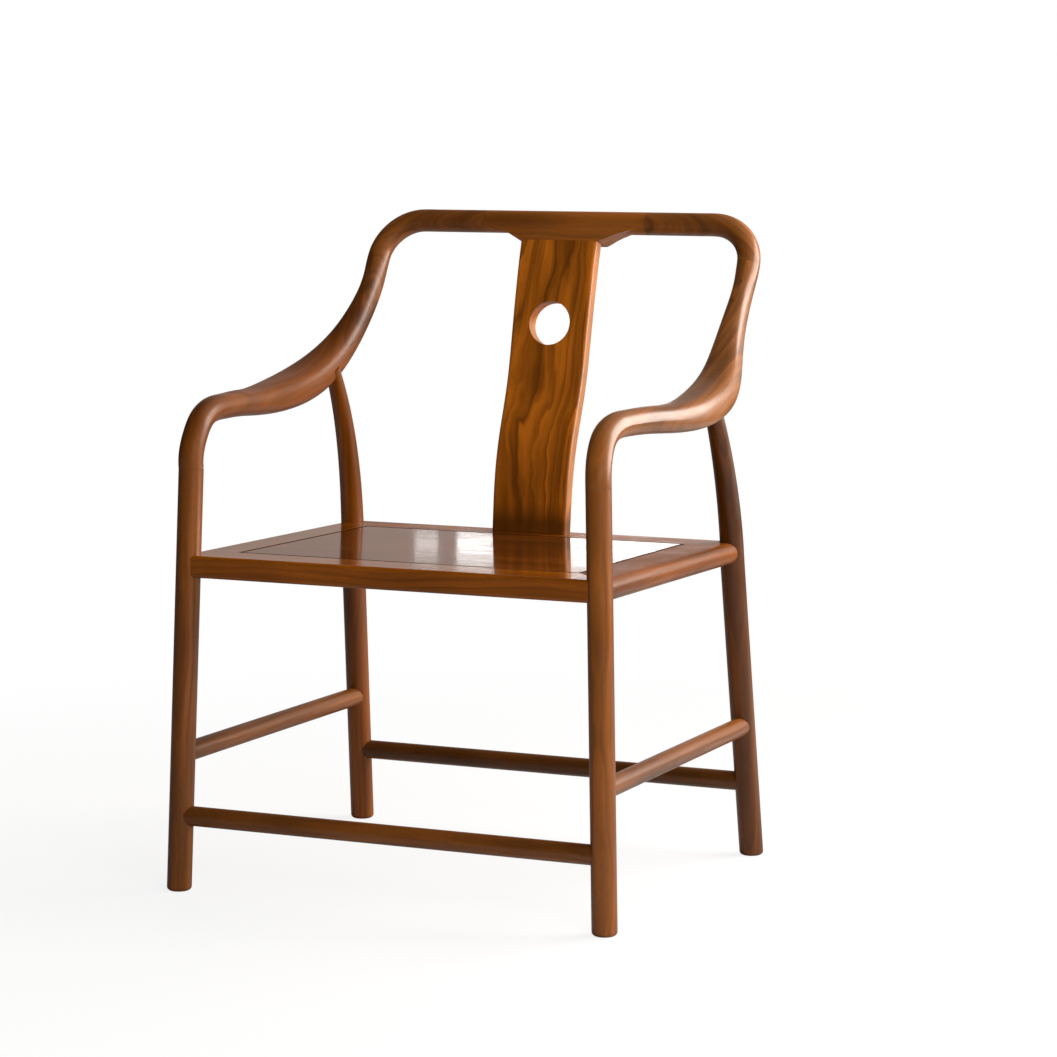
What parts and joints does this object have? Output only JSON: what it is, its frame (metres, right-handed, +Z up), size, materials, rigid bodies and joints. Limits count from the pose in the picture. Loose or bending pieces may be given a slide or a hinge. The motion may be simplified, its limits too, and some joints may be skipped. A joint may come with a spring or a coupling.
{
  "type": "low-back armchair",
  "caption": "Low-back wooden armchair: round splayed legs rise into S-curved arms and a crest rail with turned corners, over a framed seat, a curved pierced splat and round stretchers.",
  "frame": {"origin": "on the floor, under the middle of the chair's bounding box", "axes": "+X towards the right as seen from the front (the sitter's left), +Y towards the back, +Z up"},
  "size_m": [0.6174, 0.5488, 0.8011],
  "materials": {
    "frame_wood": "satin lacquer",
    "splat_wood": "satin lacquer, lively grain",
    "seat_wood": "gloss lacquer",
    "peg_wood": "end grain, satin lacquer"
  },
  "bodies": {
    "root": {"front_leg_left": "frame_wood", "rear_leg_left": "frame_wood", "arm_left": "frame_wood", "crest_corner_left": "frame_wood", "scarf_wedge_left": "peg_wood", "crest_dowel_left": "peg_wood", "seat_rail_left": "frame_wood", "seat_batten_left": "frame_wood", "stretcher_left": "frame_wood", "front_leg_right": "frame_wood", "rear_leg_right": "frame_wood", "arm_right": "frame_wood", "crest_corner_right": "frame_wood", "scarf_wedge_right": "peg_wood", "crest_dowel_right": "peg_wood", "seat_rail_right": "frame_wood", "seat_batten_right": "frame_wood", "stretcher_right": "frame_wood", "crest_centre": "frame_wood", "back_splat": "splat_wood", "seat_panel": "seat_wood", "seat_rail_front": "frame_wood", "seat_rail_back": "frame_wood", "stretcher_front": "frame_wood", "stretcher_back": "frame_wood"}
  },
  "joints": []
}
